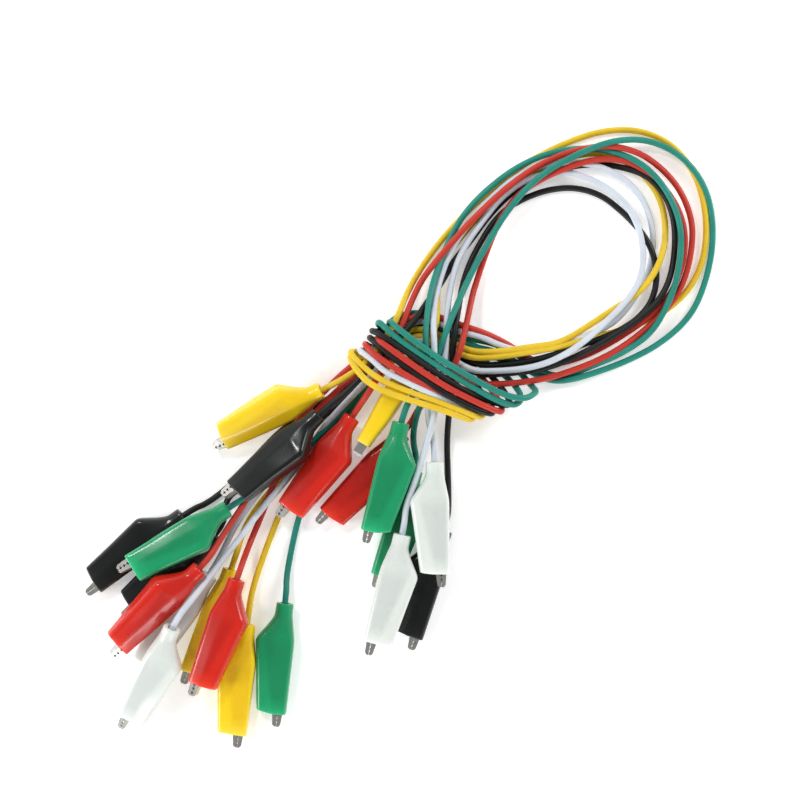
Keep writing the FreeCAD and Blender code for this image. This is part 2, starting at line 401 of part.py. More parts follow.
def point_in_clip(clip, x):
    """Point on the clip's own X axis."""
    rear, x_axis, _, _ = clip_axes(clip)
    return rear + x_axis * x


# ---------------------------------------------------------------- wires
def wire_points(lead):
    """Whole route of a lead: out of one clip, along its middle points, into the other."""
    first, last = CLIPS[lead + "_1"], CLIPS[lead + "_2"]
    start = [point_in_clip(first, WIRE_END_X), point_in_clip(first, WIRE_RUN_OUT)]
    end = [point_in_clip(last, WIRE_RUN_OUT), point_in_clip(last, WIRE_END_X)]
    return start + [V(*p) for p in ROUTES[lead]] + end


def rounded_path(points):
    """Straight runs joined by tangent arcs; returns the wire and the arcs' radii."""
    edges = []
    radii = []
    start = points[0]
    for before, corner, after in zip(points, points[1:], points[2:]):
        into, out = corner - before, after - corner
        turn = into.getAngle(out)
        reach = ARC_SHARE * min(into.Length, out.Length)
        radius = reach / math.tan(turn / 2)
        into.normalize()
        out.normalize()
        arc_start = corner - into * reach
        arc_end = corner + out * reach
        inward = (out - into).normalize()
        arc_middle = corner + inward * (radius / math.cos(turn / 2) - radius)
        edges.append(Part.LineSegment(start, arc_start).toShape())
        edges.append(Part.Arc(arc_start, arc_middle, arc_end).toShape())
        radii.append(radius)
        start = arc_end
    edges.append(Part.LineSegment(start, points[-1]).toShape())
    return Part.Wire(edges), radii


def make_wire(lead):
    """Insulated wire of one lead; prints its length, its radii and a volume check."""
    points = wire_points(lead)
    path, radii = rounded_path(points)
    ring = Part.Circle(points[0], points[1] - points[0], WIRE_R).toShape()
    shape = path.makePipeShell([Part.Wire([ring])], True, False)
    expected = math.pi * WIRE_R ** 2 * path.Length
    print(lead, "length %.1f, volume ratio %.4f" % (path.Length, shape.Volume / expected))
    print("  radii", " ".join("%.1f" % r for r in radii))
    return shape


# ---------------------------------------------------------------- the nodes
def export(node, shapes):
    solids = [solid for shape in shapes for solid in shape.Solids]
    whole = solids[0] if len(solids) == 1 else Part.makeCompound(solids)
    whole.exportStep("parts/" + node + ".step")


def main():
    boot, upper_jaw, lower_jaw = make_boot(), make_upper_jaw(), make_lower_jaw()
    rivet, spring, conductor = make_rivet(), make_spring(), make_conductor()
    for name, clip in CLIPS.items():
        export(name + "_boot", [placed(boot, clip)])
        export(name + "_upper_jaw", [placed(upper_jaw, clip)])
    for colour in COLOURS:
        own = [clip for name, clip in CLIPS.items() if name.startswith(colour)]
        export(colour + "_lower_jaws", [placed(lower_jaw, clip) for clip in own])
    export("pivot_rivets", [placed(rivet, clip) for clip in CLIPS.values()])
    export("jaw_springs", [placed(spring, clip) for clip in CLIPS.values()])
    export("copper_strands", [placed(conductor, clip) for clip in CLIPS.values()])
    for lead in ROUTES:
        export(lead + "_wire", [make_wire(lead)])


main()
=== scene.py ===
import math
import random

import bpy
from mathutils import Matrix, Vector, noise


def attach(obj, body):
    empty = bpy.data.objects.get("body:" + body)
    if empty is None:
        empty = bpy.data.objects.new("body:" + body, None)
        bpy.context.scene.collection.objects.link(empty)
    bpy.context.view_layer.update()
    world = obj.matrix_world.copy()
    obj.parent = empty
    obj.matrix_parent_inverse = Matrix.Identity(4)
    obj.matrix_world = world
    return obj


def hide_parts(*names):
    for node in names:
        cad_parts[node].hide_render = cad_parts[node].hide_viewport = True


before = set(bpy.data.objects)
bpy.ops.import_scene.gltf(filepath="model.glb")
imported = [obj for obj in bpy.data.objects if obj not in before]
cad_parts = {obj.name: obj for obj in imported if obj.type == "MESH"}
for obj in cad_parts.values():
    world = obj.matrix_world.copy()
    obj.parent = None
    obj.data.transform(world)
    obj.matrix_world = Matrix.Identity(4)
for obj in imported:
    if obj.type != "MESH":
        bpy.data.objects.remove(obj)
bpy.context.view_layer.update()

# ---------------------------------------------------------------- sizes, view and light, in metres
MM = 0.001
WIRE_RADIUS = 0.0009
# Where a wire ends inside its clip, and how far it then runs straight out of the boot.
WIRE_END_X = 0.0062
WIRE_RUN_OUT = -0.003

VIEW_WIDTH = 0.2286
VIEW_CENTRE = (0.0377, 0.0419, 0.004)
CAMERA_LENS = 100.0
SENSOR_WIDTH = 36.0

FLOOR_HALF_SIDE = 4.0
FLOOR_DROP = 0.0001
FLOOR_GLOW = 0.34
WORLD_SIDES = 0.95
WORLD_ZENITH = 0.22
# The sky's light changes from the sides' to the zenith's between these heights, of 1 overhead.
WORLD_CHANGE = (0.30, 0.78)
# Name, place, size and power in watts of each lamp. All of them face one point of the bundle.
LIT_POINT = (0.04, 0.04, 0.0)
LAMPS = (
    ("key", (-0.31, 0.54, 0.79), (0.14, 0.14), 2.6),
    ("softbox_left", (-0.85, -0.20, 0.46), (0.35, 0.35), 4.8),
    ("softbox_right", (0.75, 0.50, 0.46), (0.20, 0.60), 4.4),
    ("strip_front", (0.10, -0.85, 0.46), (0.90, 0.15), 3.2),
)

COLOURS = ("yellow", "black", "red", "green", "white")

# The clips and the wires' routes repeat the design's tables. Each clip has the middle of its
# boot's rear and mouth, the side that its jaw opens to and how many degrees that is turned up.
CLIPS = {
    "yellow_a_1": ((0.0154, 0.0447, 0.0082), (-0.0135, 0.0313, 0.0046), -1, 26),
    "yellow_a_2": ((-0.0060, -0.0221, 0.0039), (-0.0104, -0.0543, 0.0028), -1, 0),
    "yellow_b_1": ((0.0443, 0.0563, 0.0070), (0.0275, 0.0299, 0.0069), 1, -90),
    "yellow_b_2": ((-0.0105, -0.0065, 0.0039), (-0.0212, -0.0361, 0.0028), 1, 0),
    "black_a_1": ((0.0503, 0.0047, 0.0039), (0.0401, -0.0259, 0.0028), -1, 0),
    "black_a_2": ((-0.0243, 0.0089, 0.0039), (-0.0509, -0.0105, 0.0028), -1, 0),
    "black_b_1": ((0.0147, 0.0378, 0.0108), (-0.0094, 0.0151, 0.0112), 1, 24),
    "black_b_2": ((-0.0147, 0.0032, 0.0039), (-0.0401, -0.0164, 0.0028), -1, 0),
    "red_a_1": ((0.0241, 0.0371, 0.0076), (0.0061, 0.0100, 0.0057), 1, 14),
    "red_a_2": ((-0.0084, -0.0087, 0.0113), (-0.0188, -0.0404, 0.0100), 1, 12),
    "red_b_1": ((0.0386, 0.0324, 0.0039), (0.0178, 0.0084, 0.0028), 1, 0),
    "red_b_2": ((-0.0188, -0.0057, 0.0118), (-0.0433, -0.0279, 0.0105), -1, 26),
    "green_a_1": ((0.0380, 0.0356, 0.0109), (0.0303, 0.0033, 0.0104), 1, 0),
    "green_a_2": ((-0.0112, 0.0111, 0.0078), (-0.0383, -0.0060, 0.0124), 1, 8),
    "green_b_1": ((0.0419, 0.0219, 0.0039), (0.0333, -0.0087, 0.0028), 1, 0),
    "green_b_2": ((0.0049, -0.0161, 0.0039), (0.0008, -0.0481, 0.0028), -1, 0),
    "white_a_1": ((0.0475, 0.0244, 0.0106), (0.0476, -0.0093, 0.0103), -1, 0),
    "white_a_2": ((-0.0166, -0.0080, 0.0039), (-0.0352, -0.0337, 0.0028), -1, 0),
    "white_b_1": ((0.0384, 0.0039, 0.0107), (0.0311, -0.0281, 0.0095), 1, 0),
    "white_b_2": ((-0.0263, -0.0220, 0.0145), (-0.0390, -0.0494, 0.0039), 1, 0),
}

# The points that guide each wire between its clips: over, round the loop, back to the tie, once
# round the bundle as the band and out to the other clip. They are the design's, except that most
# turns at the left of the tie lie up to 3.5 mm from the design's.
ROUTES = {
    "yellow_a": [
        (0.0220, 0.0481, 0.0085), (0.0268, 0.0513, 0.0085), (0.0325, 0.0576, 0.0085),
        (0.0368, 0.0647, 0.0085), (0.0400, 0.0733, 0.0039), (0.0454, 0.0824, 0.0009),
        (0.0517, 0.0904, 0.0009), (0.0611, 0.1001, 0.0009), (0.0725, 0.1093, 0.0009),
        (0.0840, 0.1153, 0.0009), (0.0954, 0.1193, 0.0009), (0.1068, 0.1196, 0.0009),
        (0.1171, 0.1147, 0.0009), (0.1237, 0.1047, 0.0009), (0.1260, 0.0927, 0.0009),
        (0.1248, 0.0813, 0.0009), (0.1203, 0.0727, 0.0009), (0.1120, 0.0659, 0.0009),
        (0.1020, 0.0621, 0.0009), (0.0920, 0.0596, 0.0028), (0.0834, 0.0570, 0.0047),
        (0.0748, 0.0556, 0.0066), (0.0663, 0.0541, 0.0066), (0.0563, 0.0536, 0.0066),
        (0.0448, 0.0613, 0.0066), (0.0354, 0.0576, 0.0066), (0.0290, 0.0544, 0.0066),
        (0.0251, 0.0544, 0.0074), (0.0231, 0.0544, 0.0115), (0.0258, 0.0498, 0.0132),
        (0.0297, 0.0459, 0.0132), (0.0377, 0.0427, 0.0132), (0.0491, 0.0393, 0.0132),
        (0.0554, 0.0370, 0.0123), (0.0583, 0.0361, 0.0104), (0.0585, 0.0379, 0.0028),
        (0.0554, 0.0436, 0.0009), (0.0514, 0.0510, 0.0009), (0.0448, 0.0596, 0.0009),
        (0.0383, 0.0561, 0.0009), (0.0331, 0.0500, 0.0009), (0.0271, 0.0430, 0.0009),
        (0.0203, 0.0339, 0.0009), (0.0125, 0.0267, 0.0009), (0.0071, 0.0179, 0.0009),
        (0.0031, 0.0093, 0.0009), (-0.0012, -0.0019, 0.0009), (-0.0047, -0.0124, 0.0020),
    ],
    "yellow_b": [
        (0.0480, 0.0630, 0.0093), (0.0483, 0.0681, 0.0070), (0.0483, 0.0739, 0.0015),
        (0.0508, 0.0830, 0.0009), (0.0565, 0.0904, 0.0009), (0.0634, 0.0981, 0.0009),
        (0.0720, 0.1053, 0.0009), (0.0834, 0.1110, 0.0009), (0.0943, 0.1133, 0.0009),
        (0.1034, 0.1104, 0.0009), (0.1100, 0.1041, 0.0009), (0.1131, 0.0979, 0.0009),
        (0.1140, 0.0904, 0.0020), (0.1128, 0.0836, 0.0047), (0.1100, 0.0773, 0.0047),
        (0.1054, 0.0719, 0.0039), (0.0991, 0.0681, 0.0020), (0.0920, 0.0633, 0.0019),
        (0.0834, 0.0581, 0.0047), (0.0748, 0.0570, 0.0066), (0.0663, 0.0556, 0.0066),
        (0.0563, 0.0556, 0.0066), (0.0448, 0.0633, 0.0066), (0.0363, 0.0599, 0.0066),
        (0.0300, 0.0561, 0.0066), (0.0257, 0.0555, 0.0074), (0.0231, 0.0557, 0.0115),
        (0.0266, 0.0517, 0.0127), (0.0320, 0.0476, 0.0127), (0.0377, 0.0451, 0.0127),
        (0.0491, 0.0410, 0.0127), (0.0571, 0.0381, 0.0123), (0.0611, 0.0367, 0.0104),
        (0.0614, 0.0390, 0.0028), (0.0577, 0.0453, 0.0009), (0.0525, 0.0527, 0.0009),
        (0.0448, 0.0616, 0.0009), (0.0377, 0.0579, 0.0009), (0.0325, 0.0524, 0.0009),
        (0.0268, 0.0444, 0.0009), (0.0183, 0.0356, 0.0009), (0.0103, 0.0267, 0.0009),
        (0.0023, 0.0179, 0.0009), (-0.0035, 0.0110, 0.0009), (-0.0075, 0.0041, 0.0009),
    ],
    "black_a": [
        (0.0517, 0.0124, 0.0009), (0.0514, 0.0219, 0.0009), (0.0511, 0.0304, 0.0024),
        (0.0517, 0.0384, 0.0051), (0.0525, 0.0461, 0.0072), (0.0525, 0.0533, 0.0077),
        (0.0531, 0.0604, 0.0089), (0.0543, 0.0681, 0.0070), (0.0557, 0.0756, 0.0028),
        (0.0580, 0.0819, 0.0009), (0.0611, 0.0876, 0.0009), (0.0645, 0.0930, 0.0009),
        (0.0688, 0.0973, 0.0009), (0.0740, 0.1001, 0.0009), (0.0805, 0.1024, 0.0009),
        (0.0883, 0.1030, 0.0009), (0.0957, 0.1007, 0.0009), (0.1014, 0.0961, 0.0009),
        (0.1057, 0.0916, 0.0019), (0.1091, 0.0867, 0.0028), (0.1111, 0.0807, 0.0028),
        (0.1111, 0.0744, 0.0028), (0.1091, 0.0687, 0.0028), (0.1040, 0.0636, 0.0028),
        (0.0965, 0.0599, 0.0028), (0.0877, 0.0570, 0.0036), (0.0791, 0.0539, 0.0047),
        (0.0691, 0.0521, 0.0047), (0.0577, 0.0516, 0.0047), (0.0448, 0.0633, 0.0047),
        (0.0371, 0.0630, 0.0047), (0.0327, 0.0616, 0.0047), (0.0300, 0.0614, 0.0055),
        (0.0297, 0.0616, 0.0115), (0.0324, 0.0602, 0.0127), (0.0377, 0.0567, 0.0127),
        (0.0491, 0.0487, 0.0127), (0.0583, 0.0431, 0.0123), (0.0660, 0.0407, 0.0108),
        (0.0691, 0.0403, 0.0093), (0.0685, 0.0430, 0.0047), (0.0645, 0.0481, 0.0028),
        (0.0554, 0.0579, 0.0028), (0.0448, 0.0670, 0.0028), (0.0371, 0.0641, 0.0028),
        (0.0305, 0.0567, 0.0028), (0.0265, 0.0493, 0.0028), (0.0200, 0.0439, 0.0024),
        (0.0120, 0.0393, 0.0009), (0.0045, 0.0341, 0.0009), (-0.0026, 0.0270, 0.0009),
        (-0.0103, 0.0179, 0.0009), (-0.0177, 0.0121, 0.0009),
    ],
    "black_b": [
        (0.0220, 0.0436, 0.0100), (0.0280, 0.0496, 0.0098), (0.0337, 0.0559, 0.0100),
        (0.0385, 0.0604, 0.0094), (0.0423, 0.0650, 0.0091), (0.0457, 0.0701, 0.0066),
        (0.0497, 0.0756, 0.0024), (0.0531, 0.0819, 0.0009), (0.0580, 0.0876, 0.0009),
        (0.0628, 0.0944, 0.0009), (0.0685, 0.1004, 0.0009), (0.0748, 0.1047, 0.0009),
        (0.0840, 0.1084, 0.0009), (0.0934, 0.1099, 0.0009), (0.1020, 0.1087, 0.0013),
        (0.1091, 0.1059, 0.0028), (0.1140, 0.1001, 0.0028), (0.1163, 0.0933, 0.0028),
        (0.1165, 0.0847, 0.0028), (0.1148, 0.0756, 0.0036), (0.1105, 0.0687, 0.0047),
        (0.1028, 0.0627, 0.0047), (0.0948, 0.0579, 0.0043), (0.0877, 0.0541, 0.0036),
        (0.0791, 0.0507, 0.0047), (0.0677, 0.0493, 0.0047), (0.0577, 0.0490, 0.0047),
        (0.0448, 0.0616, 0.0047), (0.0371, 0.0596, 0.0047), (0.0323, 0.0581, 0.0047),
        (0.0293, 0.0594, 0.0055), (0.0290, 0.0597, 0.0115), (0.0318, 0.0572, 0.0127),
        (0.0377, 0.0521, 0.0127), (0.0491, 0.0444, 0.0127), (0.0577, 0.0399, 0.0127),
        (0.0625, 0.0381, 0.0119), (0.0643, 0.0381, 0.0096), (0.0637, 0.0407, 0.0047),
        (0.0594, 0.0461, 0.0028), (0.0531, 0.0556, 0.0028), (0.0448, 0.0633, 0.0028),
        (0.0374, 0.0593, 0.0028), (0.0320, 0.0544, 0.0028), (0.0280, 0.0481, 0.0028),
        (0.0214, 0.0416, 0.0028), (0.0125, 0.0347, 0.0028), (0.0040, 0.0270, 0.0017),
        (-0.0052, 0.0179, 0.0009), (-0.0126, 0.0141, 0.0009),
    ],
    "red_a": [
        (0.0291, 0.0444, 0.0102), (0.0325, 0.0501, 0.0094), (0.0357, 0.0567, 0.0085),
        (0.0383, 0.0630, 0.0085), (0.0411, 0.0704, 0.0058), (0.0440, 0.0764, 0.0047),
        (0.0483, 0.0819, 0.0047), (0.0531, 0.0876, 0.0047), (0.0583, 0.0933, 0.0047),
        (0.0645, 0.0993, 0.0047), (0.0720, 0.1056, 0.0047), (0.0805, 0.1107, 0.0047),
        (0.0891, 0.1136, 0.0047), (0.0977, 0.1147, 0.0047), (0.1063, 0.1127, 0.0036),
        (0.1131, 0.1079, 0.0028), (0.1183, 0.1016, 0.0028), (0.1214, 0.0933, 0.0028),
        (0.1214, 0.0861, 0.0028), (0.1197, 0.0776, 0.0028), (0.1165, 0.0710, 0.0028),
        (0.1111, 0.0647, 0.0028), (0.1020, 0.0573, 0.0028), (0.0934, 0.0527, 0.0028),
        (0.0840, 0.0493, 0.0036), (0.0777, 0.0476, 0.0047), (0.0677, 0.0464, 0.0047),
        (0.0577, 0.0464, 0.0047), (0.0448, 0.0596, 0.0047), (0.0377, 0.0573, 0.0047),
        (0.0317, 0.0559, 0.0047), (0.0282, 0.0576, 0.0055), (0.0276, 0.0579, 0.0115),
        (0.0299, 0.0550, 0.0132), (0.0377, 0.0499, 0.0132), (0.0448, 0.0459, 0.0127),
        (0.0520, 0.0427, 0.0110), (0.0588, 0.0404, 0.0104), (0.0611, 0.0399, 0.0093),
        (0.0605, 0.0421, 0.0047), (0.0571, 0.0470, 0.0028), (0.0520, 0.0539, 0.0028),
        (0.0448, 0.0616, 0.0028), (0.0383, 0.0579, 0.0028), (0.0331, 0.0544, 0.0036),
        (0.0268, 0.0507, 0.0047), (0.0191, 0.0441, 0.0043), (0.0114, 0.0361, 0.0047),
        (0.0054, 0.0261, 0.0039), (0.0011, 0.0170, 0.0028), (-0.0020, 0.0087, 0.0020),
        (-0.0052, 0.0013, 0.0019),
    ],
    "red_b": [
        (0.0428, 0.0393, 0.0045), (0.0465, 0.0427, 0.0058), (0.0505, 0.0470, 0.0075),
        (0.0537, 0.0527, 0.0100), (0.0557, 0.0596, 0.0094), (0.0571, 0.0659, 0.0068),
        (0.0585, 0.0724, 0.0036), (0.0608, 0.0796, 0.0028), (0.0631, 0.0861, 0.0028),
        (0.0665, 0.0939, 0.0028), (0.0708, 0.1001, 0.0028), (0.0760, 0.1039, 0.0039),
        (0.0811, 0.1064, 0.0051), (0.0874, 0.1090, 0.0051), (0.0948, 0.1110, 0.0039),
        (0.1034, 0.1104, 0.0028), (0.1108, 0.1056, 0.0028), (0.1163, 0.0990, 0.0028),
        (0.1191, 0.0919, 0.0028), (0.1194, 0.0847, 0.0028), (0.1177, 0.0776, 0.0028),
        (0.1145, 0.0710, 0.0028), (0.1091, 0.0656, 0.0028), (0.1005, 0.0596, 0.0009),
        (0.0920, 0.0550, 0.0009), (0.0834, 0.0521, 0.0009), (0.0763, 0.0527, 0.0017),
        (0.0691, 0.0576, 0.0032), (0.0620, 0.0610, 0.0062), (0.0548, 0.0633, 0.0066),
        (0.0448, 0.0670, 0.0066), (0.0371, 0.0633, 0.0066), (0.0341, 0.0597, 0.0066),
        (0.0314, 0.0589, 0.0074), (0.0306, 0.0592, 0.0115), (0.0327, 0.0580, 0.0132),
        (0.0377, 0.0543, 0.0132), (0.0491, 0.0464, 0.0132), (0.0591, 0.0413, 0.0132),
        (0.0645, 0.0390, 0.0123), (0.0668, 0.0384, 0.0104), (0.0663, 0.0413, 0.0047),
        (0.0623, 0.0470, 0.0028), (0.0543, 0.0561, 0.0028), (0.0448, 0.0653, 0.0028),
        (0.0371, 0.0616, 0.0028), (0.0300, 0.0561, 0.0043), (0.0228, 0.0510, 0.0047),
        (0.0143, 0.0427, 0.0043), (0.0063, 0.0333, 0.0028), (-0.0012, 0.0219, 0.0034),
        (-0.0072, 0.0116, 0.0058), (-0.0129, 0.0030, 0.0093),
    ],
    "green_a": [
        (0.0408, 0.0424, 0.0104), (0.0443, 0.0476, 0.0108), (0.0457, 0.0533, 0.0110),
        (0.0448, 0.0596, 0.0108), (0.0454, 0.0661, 0.0096), (0.0465, 0.0733, 0.0074),
        (0.0491, 0.0813, 0.0036), (0.0525, 0.0893, 0.0028), (0.0565, 0.0959, 0.0028),
        (0.0631, 0.1027, 0.0028), (0.0725, 0.1096, 0.0028), (0.0834, 0.1136, 0.0028),
        (0.0948, 0.1141, 0.0028), (0.1048, 0.1110, 0.0037), (0.1120, 0.1047, 0.0047),
        (0.1168, 0.0961, 0.0047), (0.1183, 0.0876, 0.0047), (0.1171, 0.0776, 0.0047),
        (0.1145, 0.0696, 0.0047), (0.1097, 0.0610, 0.0039), (0.1020, 0.0556, 0.0028),
        (0.0934, 0.0519, 0.0017), (0.0848, 0.0484, 0.0009), (0.0777, 0.0499, 0.0009),
        (0.0714, 0.0550, 0.0020), (0.0648, 0.0581, 0.0039), (0.0563, 0.0596, 0.0047),
        (0.0448, 0.0670, 0.0047), (0.0383, 0.0664, 0.0047), (0.0358, 0.0648, 0.0047),
        (0.0346, 0.0638, 0.0057), (0.0349, 0.0641, 0.0115), (0.0367, 0.0623, 0.0132),
        (0.0434, 0.0573, 0.0132), (0.0491, 0.0533, 0.0132), (0.0605, 0.0466, 0.0132),
        (0.0677, 0.0430, 0.0132), (0.0731, 0.0421, 0.0127), (0.0765, 0.0441, 0.0093),
        (0.0760, 0.0453, 0.0028), (0.0703, 0.0519, 0.0009), (0.0577, 0.0579, 0.0009),
        (0.0448, 0.0670, 0.0009), (0.0374, 0.0619, 0.0009), (0.0325, 0.0561, 0.0009),
        (0.0285, 0.0487, 0.0013), (0.0240, 0.0413, 0.0028), (0.0171, 0.0333, 0.0047),
        (0.0068, 0.0256, 0.0051), (-0.0032, 0.0164, 0.0060),
    ],
    "green_b": [
        (0.0414, 0.0293, 0.0039), (0.0417, 0.0350, 0.0047), (0.0437, 0.0413, 0.0072),
        (0.0465, 0.0479, 0.0081), (0.0483, 0.0547, 0.0096), (0.0503, 0.0601, 0.0104),
        (0.0525, 0.0656, 0.0096), (0.0554, 0.0724, 0.0070), (0.0588, 0.0796, 0.0051),
        (0.0628, 0.0867, 0.0047), (0.0671, 0.0941, 0.0047), (0.0720, 0.1004, 0.0057),
        (0.0777, 0.1059, 0.0066), (0.0851, 0.1104, 0.0066), (0.0948, 0.1147, 0.0066),
        (0.1020, 0.1164, 0.0047), (0.1097, 0.1161, 0.0032), (0.1177, 0.1124, 0.0028),
        (0.1240, 0.1056, 0.0017), (0.1271, 0.0973, 0.0009), (0.1277, 0.0876, 0.0009),
        (0.1260, 0.0773, 0.0009), (0.1217, 0.0664, 0.0009), (0.1131, 0.0584, 0.0009),
        (0.1034, 0.0533, 0.0009), (0.0943, 0.0499, 0.0020), (0.0857, 0.0473, 0.0020),
        (0.0791, 0.0476, 0.0015), (0.0720, 0.0521, 0.0009), (0.0663, 0.0556, 0.0028),
        (0.0563, 0.0576, 0.0047), (0.0448, 0.0653, 0.0047), (0.0377, 0.0644, 0.0047),
        (0.0335, 0.0624, 0.0047), (0.0314, 0.0633, 0.0055), (0.0317, 0.0641, 0.0115),
        (0.0342, 0.0616, 0.0127), (0.0377, 0.0587, 0.0127), (0.0491, 0.0510, 0.0127),
        (0.0605, 0.0441, 0.0127), (0.0668, 0.0410, 0.0127), (0.0705, 0.0404, 0.0112),
        (0.0723, 0.0421, 0.0085), (0.0714, 0.0453, 0.0028), (0.0663, 0.0504, 0.0009),
        (0.0554, 0.0567, 0.0009), (0.0448, 0.0653, 0.0009), (0.0377, 0.0601, 0.0009),
        (0.0337, 0.0550, 0.0017), (0.0300, 0.0481, 0.0028), (0.0248, 0.0404, 0.0028),
        (0.0203, 0.0327, 0.0028), (0.0157, 0.0247, 0.0020), (0.0114, 0.0161, 0.0011),
        (0.0084, 0.0076, 0.0009), (0.0065, -0.0010, 0.0009), (0.0051, -0.0090, 0.0020),
    ],
    "white_a": [
        (0.0471, 0.0310, 0.0074), (0.0454, 0.0376, 0.0085), (0.0460, 0.0441, 0.0100),
        (0.0474, 0.0504, 0.0113), (0.0474, 0.0576, 0.0115), (0.0471, 0.0641, 0.0100),
        (0.0477, 0.0710, 0.0062), (0.0497, 0.0784, 0.0032), (0.0525, 0.0853, 0.0028),
        (0.0565, 0.0916, 0.0028), (0.0628, 0.0990, 0.0028), (0.0714, 0.1064, 0.0028),
        (0.0811, 0.1101, 0.0028), (0.0920, 0.1099, 0.0028), (0.1011, 0.1061, 0.0028),
        (0.1071, 0.1001, 0.0028), (0.1100, 0.0927, 0.0017), (0.1105, 0.0859, 0.0009),
        (0.1091, 0.0779, 0.0009), (0.1051, 0.0713, 0.0017), (0.1000, 0.0647, 0.0028),
        (0.0934, 0.0610, 0.0028), (0.0834, 0.0579, 0.0028), (0.0748, 0.0550, 0.0047),
        (0.0663, 0.0573, 0.0055), (0.0611, 0.0599, 0.0062), (0.0548, 0.0613, 0.0066),
        (0.0448, 0.0653, 0.0066), (0.0365, 0.0616, 0.0066), (0.0319, 0.0573, 0.0066),
        (0.0280, 0.0558, 0.0074), (0.0257, 0.0561, 0.0115), (0.0292, 0.0540, 0.0127),
        (0.0331, 0.0501, 0.0127), (0.0377, 0.0479, 0.0127), (0.0448, 0.0444, 0.0127),
        (0.0505, 0.0419, 0.0115), (0.0583, 0.0390, 0.0108), (0.0625, 0.0390, 0.0096),
        (0.0623, 0.0413, 0.0032), (0.0588, 0.0476, 0.0009), (0.0531, 0.0556, 0.0009),
        (0.0448, 0.0633, 0.0009), (0.0377, 0.0593, 0.0009), (0.0323, 0.0539, 0.0009),
        (0.0257, 0.0459, 0.0009), (0.0163, 0.0379, 0.0009), (0.0085, 0.0284, 0.0009),
        (0.0005, 0.0196, 0.0009), (-0.0057, 0.0116, 0.0009), (-0.0103, 0.0047, 0.0009),
    ],
    "white_b": [
        (0.0392, 0.0116, 0.0110), (0.0420, 0.0190, 0.0110), (0.0444, 0.0270, 0.0110),
        (0.0465, 0.0339, 0.0108), (0.0480, 0.0404, 0.0104), (0.0494, 0.0470, 0.0096),
        (0.0505, 0.0533, 0.0085), (0.0508, 0.0604, 0.0091), (0.0511, 0.0670, 0.0081),
        (0.0520, 0.0739, 0.0045), (0.0537, 0.0804, 0.0028), (0.0568, 0.0870, 0.0028),
        (0.0614, 0.0933, 0.0028), (0.0665, 0.0999, 0.0028), (0.0731, 0.1047, 0.0028),
        (0.0800, 0.1070, 0.0028), (0.0863, 0.1073, 0.0028), (0.0937, 0.1047, 0.0028),
        (0.1005, 0.1004, 0.0028), (0.1051, 0.0939, 0.0032), (0.1074, 0.0859, 0.0036),
        (0.1068, 0.0767, 0.0047), (0.1023, 0.0699, 0.0047), (0.0960, 0.0636, 0.0047),
        (0.0891, 0.0576, 0.0055), (0.0820, 0.0533, 0.0058), (0.0748, 0.0510, 0.0066),
        (0.0663, 0.0501, 0.0066), (0.0563, 0.0501, 0.0066), (0.0454, 0.0604, 0.0066),
        (0.0371, 0.0567, 0.0066), (0.0303, 0.0496, 0.0066), (0.0243, 0.0433, 0.0058),
        (0.0185, 0.0373, 0.0047), (0.0143, 0.0319, 0.0037), (0.0100, 0.0250, 0.0028),
        (0.0048, 0.0184, 0.0043), (-0.0017, 0.0110, 0.0047), (-0.0083, 0.0021, 0.0062),
        (-0.0152, -0.0067, 0.0094), (-0.0212, -0.0147, 0.0127),
    ],
}


# ---------------------------------------------------------------- placing
def clip_axes(clip):
    """Rear point and the three unit axes of a placed clip."""
    rear, mouth, side, roll = clip
    along = (Vector(mouth) - Vector(rear)).normalized()
    left = Vector((-along.y, along.x, 0)).normalized()
    up = along.cross(left)
    angle = math.radians(roll)
    opening = left * (side * math.cos(angle)) + up * math.sin(angle)
    return Vector(rear), along, opening, along.cross(opening)


def clip_matrix(clip):
    rear, x_axis, y_axis, z_axis = clip_axes(clip)
    turned = Matrix((x_axis, y_axis, z_axis)).transposed()
    return Matrix.Translation(rear) @ turned.to_4x4()


def point_in_clip(clip, x):
    rear, x_axis, _, _ = clip_axes(clip)
    return rear + x_axis * x


def wire_points(lead):
    """The design's route: out of one clip, round the bundle, into the other clip."""
    first, last = CLIPS[lead + "_1"], CLIPS[lead + "_2"]
    start = [point_in_clip(first, WIRE_END_X), point_in_clip(first, WIRE_RUN_OUT)]
    end = [point_in_clip(last, WIRE_RUN_OUT), point_in_clip(last, WIRE_END_X)]
    return start + [Vector(p) for p in ROUTES[lead]] + end


# ---------------------------------------------------------------- camera
def add_camera():
    """Looks straight down, with the fan of clips towards the lower left."""
    camera = bpy.data.objects.new("camera", bpy.data.cameras.new("camera"))
    camera.data.lens = CAMERA_LENS
    camera.data.sensor_width = SENSOR_WIDTH
    distance = VIEW_WIDTH * CAMERA_LENS / SENSOR_WIDTH
    camera.location = Vector(VIEW_CENTRE) + Vector((0, 0, distance))
    bpy.context.scene.collection.objects.link(camera)
    bpy.context.scene.camera = camera
    bpy.context.scene.view_settings.view_transform = "Standard"


# ---------------------------------------------------------------- material helpers
def new_material(name):
    material = bpy.data.materials.new(name)
    material.use_nodes = True
    return material, material.node_tree.nodes, material.node_tree.links


def noise_node(nodes, links, scale, detail=4.0, roughness=0.55):
    """Noise in the model's own space, in cycles per metre."""
    place = nodes.new("ShaderNodeTexCoord")
    texture = nodes.new("ShaderNodeTexNoise")
    texture.inputs["Scale"].default_value = scale
    texture.inputs["Detail"].default_value = detail
    texture.inputs["Roughness"].default_value = roughness
    links.new(place.outputs["Object"], texture.inputs["Vector"])
    return texture


